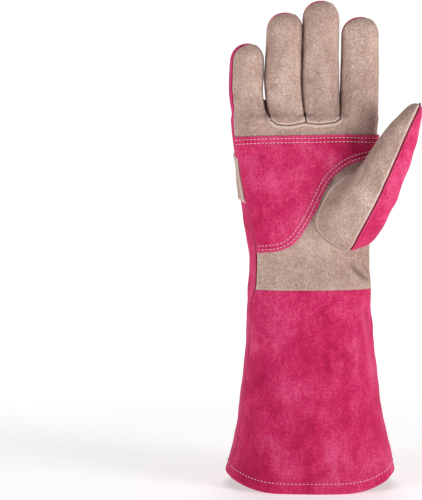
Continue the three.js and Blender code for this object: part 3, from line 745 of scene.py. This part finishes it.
def through_rows(table, place):
    """Reads a table between its rows, on a cubic curve that passes through each of them."""
    padded = np.vstack([2 * table[0] - table[1], table, 2 * table[-1] - table[-2]])
    row = np.clip(place.astype(int), 0, len(table) - 2)
    t = (place - row)[..., None]
    a, b, c, d = (padded[row + shift] for shift in range(4))
    return 0.5 * (2 * b + (c - a) * t + (2 * a - 5 * b + 4 * c - d) * t**2 + (3 * b - a - 3 * c + d) * t**3)


def thumb_place(place, angle):
    """A place on the thumb: its section's middle, plus its half axes times the angle's cosine and sine. The
    outer side stands out further by a few millimetres, with the square of the sine, and the inner one is drawn
    in, with its fourth power."""
    front_up, front_out, back_up, back_out, width = (
        column[..., None] for column in np.moveaxis(through_rows(thumb_rows, place), -1, 0))
    front = thumb_base + front_out * thumb_depth * palm_out + front_up * thumb_length * thumb_along
    back = thumb_base + back_out * thumb_depth * palm_out + back_up * thumb_length * thumb_along
    side = width * thumb_base_width / 2 * thumb_across
    fuller = np.interp(place, *thumb_fullness)[..., None] * thumb_across
    drawn_in = np.interp(place, *thumb_hollow)[..., None] * thumb_across
    sideways = squarish(np.sin(angle))[..., None]
    return ((front + back) / 2 + (front - back) / 2 * squarish(np.cos(angle))[..., None] + side * sideways
            + fuller * np.maximum(sideways, 0) ** 2 + drawn_in * np.minimum(sideways, 0) ** 4)


def thumb_start(angle):
    """Where the thumb leaves the palm at each angle: the last place along it inside the body, or else its foot."""
    place = np.linspace(0, 7, 281)
    level = body_level(thumb_place(place[:, None] + 0 * angle, angle + 0 * place[:, None]).reshape(-1, 3))
    inside = level.reshape(len(place), -1) < 0
    last = len(place) - 1 - inside[::-1].argmax(0)
    return np.where(inside.any(0), place[last], 0.0)


def smooth_ring(values, width):
    """Averages values that run round a ring with their neighbours."""
    turns = np.arange(-width, width + 1)
    weights = bell(turns * np.sqrt(2) / width)
    return sum(np.roll(values, turn) * weight for turn, weight in zip(turns, weights)) / weights.sum()


ring_angles = np.linspace(0, 2 * np.pi, 720, endpoint=False)
ring_starts = smooth_ring(thumb_start(ring_angles), 4)
thumb_oval, _ = settle(thumb_place(ring_starts, ring_angles), body_level)


def thumb_angle(place, across, front_side):
    """The angle at a share of the way across a thumb panel. The front one goes from the back seam, less a full
    turn, to the front seam, and the back one goes on from there to the back seam."""
    seam, behind = np.interp(place, *front_seam_turn), np.interp(place, *thumb_back_seam)
    return lerp(behind - 2 * np.pi, seam, across) if front_side else lerp(seam, behind, across)


def thumb_panel(name, skins, front_side, columns):
    """One thumb panel: rows from just inside the palm to the tip, pulled onto the oval at the foot, turned in at
    the seams, with a lip round the oval and soft swells that end near the tip."""
    rows, start_inside, tuck, pull_reach, flat_tip = 96, 0.45, 1.0, 9, 0.12
    across = np.linspace(0, 1, columns)[None]
    start = np.interp(np.mod(thumb_angle(0, across, front_side), 2 * np.pi),
                      np.append(ring_angles, 2 * np.pi), np.append(ring_starts, ring_starts[0]))
    share = np.linspace(0, 1, rows)[:, None]
    place = lerp(np.maximum(start - start_inside, 0), len(thumb_rows) - 1.0, share)
    places = thumb_place(place, thumb_angle(place, across, front_side))
    foot, _ = settle(places[0], body_level)
    foot[:, 1] += tuck
    pull = np.where(body_level(places[0])[:, None] > -1, foot - places[0], 0)
    places += pull * (1 - step(np.linalg.norm(places - places[:1], axis=-1) / pull_reach))[..., None]
    out = np.cross(np.gradient(places, axis=1), np.gradient(places, axis=0))
    out /= np.maximum(np.linalg.norm(out, axis=-1, keepdims=True), 1e-9)
    middle = (thumb_place(place, 0 * place) + thumb_place(place, np.pi + 0 * place)) / 2
    out *= np.sign((out * (places - middle)).sum())
    out[-3:] = out[-3]
    flat, out = places.reshape(-1, 3), out.reshape(-1, 3)
    away = nearest(flat, np.vstack([places[:, 0], places[:, -1]]))
    narrow = np.repeat(np.clip((1 - share[:, 0]) / flat_tip, 0, 1), columns)
    lip_rise, seam_to_lip, lip_width = 0.85, 1.2, 0.8
    lip_away = np.abs(nearest(flat, thumb_oval) - seam_to_lip)
    tip_seam, long_swell, short_swell = 0.45, 0.4, 0.25
    height = at_seam(away) * lerp(tip_seam, 1, narrow)
    height += (long_swell * waves(flat, 30, 21) + short_swell * waves(flat, 12, 22)) * narrow
    height += lip_rise * bell(lip_away / lip_width) + sum(fold_shape(flat, fold) for fold in thumb_folds)
    moved = flat + out * height[:, None]
    faces = turned_out(grid_faces(np.arange(len(flat)).reshape(rows, columns)), moved, out)
    # The seam distance places painted shade along the seams, and the distance from the lip round the oval its
    # painted highlight.
    return leather_piece(name, moved, faces, skins, away + 2 * (1 - narrow), lip_away, creased(flat, thumb_folds))


# As for the pink, the last two values set the pale cut edges and painted highlights, and the painted shade.
beige = suede("beige suede", {
    "Deep tone and shade": (0.2, 0.12, 0.094, 1), "Dye": (0.41, 0.275, 0.232, 1), "Pale": (0.68, 0.53, 0.46, 1),
    "Clouds": 0.5, "Speckle": 1.6, "Wear": 0.75, "Seam and crease shade": 0.85}, 0.12, (1.0, 0.88, 0.8))
beige_edge = suede("beige cut edge", {
    "Deep tone and shade": (0.48, 0.37, 0.31, 1), "Dye": (0.62, 0.5, 0.43, 1), "Pale": (0.75, 0.64, 0.56, 1), **cut_face},
    0.1, (1.0, 0.9, 0.8))
thumb_front = thumb_panel("thumb_front_leather", [beige], True, 56)
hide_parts("thumb_front")
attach(thumb_front, "root")
thumb_back = thumb_panel("thumb_back_leather", [pink], False, 80)
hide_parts("thumb_back")
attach(thumb_back, "root")


# Palm: one beige panel from the wrist seam to the finger roots, with the fronts of the little finger and the
# index. The thumb's tube is sewn into its oval hole, and its fold stands up around the seam.
root_seam = np.array([(0, 0.5), (0.08, 4.2), (0.27, 5), (0.48, 2.6), (0.68, 4.2), (0.92, 2.8), (1, -0.5)])


def root_line(x):
    """Height of the line at the finger roots: the seam under the two middle fingers, level beside them."""
    share = (x - fingers[1]["low"]) / (fingers[2]["high"] - fingers[1]["low"])
    fine, rounding = np.linspace(0, 1, 201), 6
    weights = bell(np.arange(-rounding, rounding + 1) * np.sqrt(2) / rounding)
    drop = np.pad(np.interp(fine, *root_seam.T), rounding, mode="edge")
    return root_z - np.interp(share, fine, np.convolve(drop, weights / weights.sum(), mode="valid"))


def unroll(places):
    """Skin places as a flat chart: the angle round the body, in shares of the wrist's half width, by height."""
    middle, half_width, half_depth = body_sizes(places[:, 2])
    around = np.arctan2((places[:, 0] - middle) / half_width, -places[:, 1] / half_depth)
    return around * wrist_width / 2, places[:, 2]


def in_thumb(places):
    """Which places lie inside the thumb's oval by more than the seam's margin: in the unrolled chart, a line from
    the place crosses the oval an odd number of times."""
    margin, front_only = 2.0, 15
    x, z = unroll(places)
    ring_x, ring_z = unroll(thumb_oval)
    next_x, next_z = np.roll(ring_x, -1), np.roll(ring_z, -1)
    rise = np.where(np.abs(next_z - ring_z) < 1e-9, 1e-9, next_z - ring_z)
    inside = np.zeros(len(places), bool)
    close = np.flatnonzero((z > ring_z.min()) & (z < ring_z.max()) & (places[:, 1] < front_only))
    for part in np.array_split(close, len(close) // 2000 + 1):
        from_x, from_z = x[part, None], z[part, None]
        over = (ring_z > from_z) != (next_z > from_z)
        inside[part] = (over & (from_x < ring_x + (next_x - ring_x) * (from_z - ring_z) / rise)).sum(1) % 2 == 1
    inside[close] &= nearest(places[close], thumb_oval) > margin
    return inside


def palm_grid():
    """The palm below the finger roots: angles round the body, divided at the finger boundaries, by heights."""
    share = np.linspace(0, 1, int(palm_length / spacing))[:, None]
    parts = []
    for number, columns in enumerate(tongue_columns):
        u = np.linspace(-1, 1, columns)[None, min(number, 1):]
        top = root_line(body_place(-1, tongue_angle(number, -1, u, root_z), root_z)[..., 0])
        z = lerp(wrist_seam, top, share)
        parts.append(body_place(-1, tongue_angle(number, -1, u, z), z))
    places = np.concatenate(parts, axis=1)
    sewn = np.zeros(places.shape[:2], bool)
    sewn[:, [0, -1]] = True
    return cut(places, sewn=sewn)


inner_columns = slice(tongue_columns[0] - 1, sum(tongue_columns[:3]) - 2)
palm_rows = palm_grid()
root_lip, wrist_lip = 1.15, 0.12
palm_base = lay_leather(
    "palm_base_leather", (beige, beige_edge), [palm_rows, tongue(0, -1, root_line), tongue(3, -1, root_line)],
    glove_level, seam_line=thumb_oval, hole=in_thumb,
    lips=[(palm_rows["places"][-1, inner_columns], root_lip), (palm_rows["places"][0], wrist_lip)])
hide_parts("palm_base")
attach(palm_base, "root")


# Ring and middle finger fronts: two beige pieces that are sewn in above the seam at the finger roots.
for number, name in ((1, "ring_finger_front"), (2, "middle_finger_front")):
    grid = tongue(number, -1, root_line)
    grid["sewn"][0] = True
    front = lay_leather(name + "_leather", (beige, beige_edge), [grid], glove_level)
    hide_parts(name)
    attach(front, "root")


# Strap: a beige band laid over the join of the two back panels, with cut edges, stitched along both of them.
cover = 1.7  # how far an outer layer's face stands above the skin
row_step = 0.7  # between the places on a line of stitches


def even_row(level, places, lift):
    """A line of places on the skin, evenly spaced along it, and the outward directions there."""
    places, _ = settle(places, level)
    length = np.append(0, np.cumsum(np.linalg.norm(np.diff(places, axis=0), axis=1)))
    even = np.arange(0, length[-1], row_step)
    places = np.stack([np.interp(even, length, places[:, axis]) for axis in range(3)], axis=1)
    places, out = settle(places, level)
    return places, out, slack(places) + lift


def row_on(level, side, angle, z, lift):
    """An even row on the skin through angles and heights on the back or the palm."""
    return even_row(level, body_place(side, angle, z), lift)


back_low, back_high = panel_limits(1, join_z)


def strap_shift(angle):
    """The strap sags towards the little finger's side, with the square of the way there and more at its end."""
    share = (back_high - angle) / (back_high - back_low)
    lifted, sag, end_sag = 1.2, 4.5, 5.0
    return lifted - sag * share**2 - end_sag * share**7


strap_angles = np.linspace(back_low, back_high, 120)
upper_inset, lower_inset = 1.5, 2.6
strap_rows = [
    row_on(body_level, 1, strap_angles[2:-2], edge_z + strap_shift(strap_angles[2:-2]), cover)
    for edge_z in (strap_top - upper_inset, strap_bottom + lower_inset)
]
strap_share = np.linspace(0, 1, 30)[:, None]
strap_z = lerp(strap_bottom, strap_top, strap_share) + strap_shift(strap_angles[None])
strap_across = np.linspace(0, 1, len(strap_angles))[None]
strap_places = body_place(1, lerp(*panel_limits(1, strap_z), strap_across), strap_z)
strap_end_drop, strap_end_share = 0.6, 0.08  # towards the ulnar seam, where the strap is sewn in
strap_lift = cover - strap_end_drop * step(1 - strap_across / strap_end_share) + 0 * strap_z
knuckle_band = lay_leather(
    "knuckle_band_leather", (beige, beige_edge), [cut(strap_places, sewn="ulnar radial", raw="low high")],
    body_level, lift=strap_lift.ravel(), stitch_lines=[row[0] for row in strap_rows])
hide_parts("knuckle_band")
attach(knuckle_band, "root")


# Palm patch: pink suede laid over the palm, its lower edge cut in an S that passes round the thumb. Its cut
# edges are held by two rows of stitches each, and its ends are caught in the side seams.
patch_edge = np.array([
    (-1.3, 0.225), (-0.68, 0.228), (-0.48, 0.236), (-0.36, 0.252), (-0.25, 0.28), (-0.165, 0.325),
    (-0.05, 0.403), (0.045, 0.478), (0.12, 0.552), (0.18, 0.608), (0.28, 0.666), (0.41, 0.712), (0.53, 0.741),
    (0.66, 0.758), (0.8, 0.775), (0.95, 0.8), (1.3, 0.83),
])
patch_low = eased(patch_edge[:, 0] * knuckle_width / 2, cuff_length + patch_edge[:, 1] * palm_length, 2.5)


def patch_top(x):
    """The patch's upper edge: straight, a little closer to the finger roots on the index's side, in mm under
    them."""
    ulnar_gap, radial_gap = 12.5, 11.5
    return root_z - lerp(ulnar_gap, radial_gap, x / knuckle_width + 0.5)


def patch_height(angle, lower):
    """The height of the patch's lower or upper edge at an angle. The edge is given over X, which depends on
    the height, so it is found in a few rounds. Round the side, towards its end, the patch gets wider."""
    lower_drop, upper_rise, widening_from, widening_turn = -4.0, 1.5, np.radians(78), np.radians(36)
    z = np.full_like(angle, root_z - (50 if lower else 12))
    for _ in range(12):
        x = body_place(-1, angle, z)[..., 0]
        z = lerp(z, np.interp(x, *patch_low) if lower else patch_top(x), 0.7)
    return z + (lower_drop if lower else upper_rise) * step((angle - widening_from) / widening_turn)


def patch_row(inset, lower):
    """A line on the patch, inset mm inside one of its cut edges: the edge, moved along the skin."""
    angle = np.linspace(palm_low, palm_high, 500)
    z = patch_height(angle, lower)
    low, high = panel_limits(-1, z)
    end_gap = 0.05
    kept = (angle > low + end_gap) & (angle < high - end_gap)
    places, out = settle(body_place(-1, angle[kept], z[kept]), body_level)
    run = np.gradient(places, axis=0)
    run /= np.linalg.norm(run, axis=1, keepdims=True)
    inward = np.cross(out, run) * (-1 if lower else 1)
    inward *= np.sign(inward[:, 2:] * (1 if lower else -1)).mean()
    return even_row(glove_level, places + inward * inset, cover)


palm_low, palm_high = panel_limits(-1, root_z - 30)
patch_rows = [patch_row(inset, lower) for lower, insets in ((True, (1.9, 4.8)), (False, (2.3, 5.3)))
              for inset in insets]
patch_angles = np.linspace(palm_low, palm_high, 150)[None]
patch_share = np.linspace(0, 1, 72)[:, None]
patch_across = np.linspace(0, 1, 150)[None]
for _ in range(5):
    patch_z = lerp(patch_height(patch_angles, True), patch_height(patch_angles, False), patch_share)
    patch_angles = lerp(*panel_limits(-1, patch_z), patch_across)
patch_end_drop, patch_end_share = 0.9, 0.05
patch_lift = cover - patch_end_drop * step(1 - patch_across / patch_end_share) + 0 * patch_z
palm_patch = lay_leather(
    "palm_patch_leather", (pink, pink_edge),
    [cut(body_place(-1, patch_angles, patch_z), sewn="ulnar radial", raw="low high")],
    glove_level, lift=patch_lift.ravel(), stitch_lines=[row[0] for row in patch_rows])
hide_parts("palm_patch")
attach(palm_patch, "root")


# Stitches: pale twisted thread, each stitch a short loop of it that dives into the leather at both ends.
thread, thread_tree = new_material("pale thread")
thread_place = add_node(thread_tree, "TexCoord").outputs["Object"]
twist = noise(thread_tree, thread_place, 2600.0, 1.0)
thread_bump = add_node(thread_tree, "Bump", {"Height": twist, "Strength": 0.5, "Distance": 0.0002})
finish_with(thread_tree, {
    "Base Color": blend(thread_tree, twist, (0.66, 0.42, 0.43, 1), (0.82, 0.63, 0.62, 1)),
    "Normal": thread_bump.outputs["Normal"], "Roughness": 0.75, "Specular IOR Level": 0.25})


def sew(name, row, length=2.1, pitch=2.8, thick=0.26):
    """A row of stitches along a line on the leather. Each is a spindle of rings round its own middle line,
    which arches up between the two holes."""
    line, out, lift = row
    steps = max(1, int(round(pitch / row_step)))
    start = np.arange(2, len(line) - steps - 2, steps)
    reach = np.array([0, 0.18, 0.5, 0.82, 1.0])
    size = np.array([0.25, 0.85, 1.0, 0.85, 0.25])
    arch = np.array([-0.55, 0.05, 0.3, 0.05, -0.55])
    sides, flattened = np.arange(6) * np.pi / 3, 0.8
    run = line[start + steps // 2 + 1] - line[start]
    run /= np.linalg.norm(run, axis=1, keepdims=True)
    up = out[start]
    side = np.cross(run, up)
    foot = line[start] + up * lift[start, None]
    centre = foot[:, None] + run[:, None] * (reach * length)[None, :, None] + up[:, None] * arch[None, :, None]
    ring = np.cos(sides)[:, None] * side[:, None, None] + np.sin(sides)[:, None] * up[:, None, None] * flattened
    places = centre[:, :, None] + ring * (size * thick)[None, :, None, None]
    index = np.arange(places[..., 0].size).reshape(places.shape[:3])
    caps = [*index[:, 0, ::-1].tolist(), *index[:, -1].tolist()]
    faces = [*grid_faces(index, closed=True).tolist(), *caps]
    piece = mesh_piece(name, places.reshape(-1, 3), faces, [thread], recalculate=True)
    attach(piece, "root")


for kind, rows in (("strap", strap_rows), ("patch", patch_rows)):
    for number, row in enumerate(rows, 1):
        sew(f"{kind}_stitches_{number}", row)


def hem_row(side):
    """The hem's stitches, a fixed height above the rim's curve."""
    above_rim, end_gap = 7.5, 0.02
    low, high = panel_limits(side, 8.0)
    angle = np.linspace(low + end_gap, high - end_gap, 300)
    return row_on(body_level, side, angle, hem_height(body_place(side, angle, curve_z)[:, 0]) + above_rim, 0.0)


sew("hem_stitches_palm", hem_row(-1))
sew("hem_stitches_back", hem_row(1))
side_z = np.linspace(hem_rise + 8, cuff_length - 3, 200)
side_inset = 3.2 / body_sizes(side_z)[2]
sew("side_stitches", row_on(body_level, -1, panel_limits(-1, side_z)[1] - side_inset, side_z, 0.0))
thumb_row = np.array([
    (18.5, -30, 173.2), (23, -30, 171), (27, -30, 169.8), (31, -30, 169.4), (35, -30, 169.9), (39, -24, 171.9)])
sew("thumb_stitches", even_row(body_level, through_rows(thumb_row, np.linspace(0, 5, 60)), 0.15), thick=0.36)


# Floor, light and camera: a wide white floor that fades into a white surround, a soft light from the right at
# the glove's middle height, a weaker one from the left, one above and behind, and the photograph's view.
floor_turn = np.linspace(0, 2 * np.pi, 64, endpoint=False)[None, :, None]
floor_reach = np.array([0.02, 0.1, 0.3, 0.8, 2.0, 5.0, 12.0, 30.0])[:, None, None]
floor_places = floor_reach * np.concatenate([np.cos(floor_turn), np.sin(floor_turn), 0 * floor_turn], -1)
floor_index = np.arange(floor_places[..., 0].size).reshape(floor_places.shape[:2])
floor_faces = grid_faces(floor_index, closed=True)[:, ::-1].tolist()
floor_mesh = bpy.data.meshes.new("floor")
floor_mesh.from_pydata(floor_places.reshape(-1, 3), [], [*floor_faces, floor_index[0].tolist()])
floor = bpy.data.objects.new("floor", floor_mesh)
bpy.context.scene.collection.objects.link(floor)
floor_paint, floor_tree = new_material("floor paint")
floor_spot = add_node(floor_tree, "TexCoord").outputs["Object"]
floor_far = add_node(floor_tree, "VectorMath", {0: floor_spot}, operation="LENGTH").outputs["Value"]
finish_with(floor_tree, {
    "Base Color": (0.9, 0.9, 0.9, 1), "Roughness": 0.9, "Specular IOR Level": 0.1, "Emission Color": (1, 1, 1, 1),
    "Emission Strength": ramp(floor_tree, floor_far, 0.15, 1.6, 0.42, 1.0, smooth=True)})
floor_mesh.materials.append(floor_paint)

world = bpy.data.worlds.new("studio")
world.use_nodes = True
surround = world.node_tree.nodes["Background"].inputs
surround["Color"].default_value = (1, 1, 1, 1)
seen, lit_by, seen_as = add_node(world.node_tree, "LightPath").outputs["Is Camera Ray"], 0.12, 1.05
world.node_tree.links.new(ramp(world.node_tree, seen, 0.0, 1.0, lit_by, seen_as), surround["Strength"])
bpy.context.scene.world = world
for name, place, size, power in (
    ("key", (1.2, -0.8, 0.3), 0.6, 17),
    ("fill", (-1.2, -0.72, 0.3), 0.7, 10.5),
    ("back", (0.1, 1.1, 1.5), 1.2, 12),
):
    lamp = bpy.data.lights.new(name, "AREA")
    lamp.shape = "SQUARE"
    lamp.size = size
    lamp.energy = power
    light = bpy.data.objects.new(name, lamp)
    light.location = place
    light.rotation_euler = (Vector((0, 0, 0.2)) - light.location).to_track_quat("-Z", "Y").to_euler()
    bpy.context.scene.collection.objects.link(light)

lens = bpy.data.cameras.new("camera")
lens.sensor_fit = "VERTICAL"
lens.sensor_height = 36
lens.lens = 97.0
camera = bpy.data.objects.new("camera", lens)
camera.location = (-0.0817, -1.0, 0.2264)
camera.rotation_euler = np.radians((87, 0.2, 0))
bpy.context.scene.collection.objects.link(camera)
bpy.context.scene.camera = camera
bpy.context.scene.view_settings.view_transform = "Standard"

bpy.context.view_layer.update()
